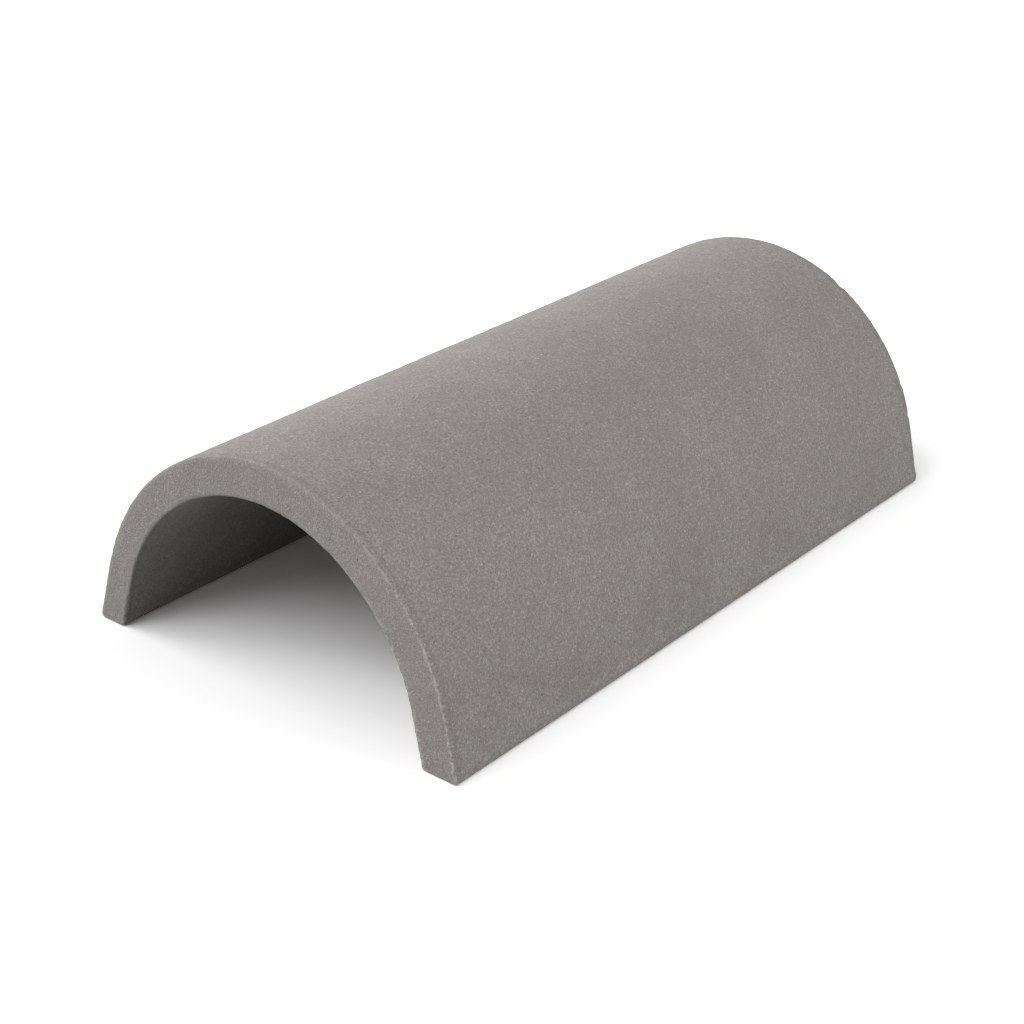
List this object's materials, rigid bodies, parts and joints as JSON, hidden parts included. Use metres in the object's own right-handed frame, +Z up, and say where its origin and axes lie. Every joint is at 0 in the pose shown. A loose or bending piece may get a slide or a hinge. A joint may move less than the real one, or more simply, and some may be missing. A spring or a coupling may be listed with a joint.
{
  "type": "ridge tile",
  "caption": "Half-round cast concrete ridge tile: an open-ended arch with a small lip along each foot, laid in a row over the ridge of a pitched roof.",
  "frame": {"origin": "on the floor plane under the crown, midway along the tile and midway between its feet", "axes": "+X along the ridge, +Y across the tile, +Z up from the feet to the crown"},
  "size_m": [0.45, 0.2464, 0.128],
  "materials": {
    "concrete": "matte"
  },
  "bodies": {
    "root": {"ridge_tile": "concrete"}
  },
  "joints": []
}
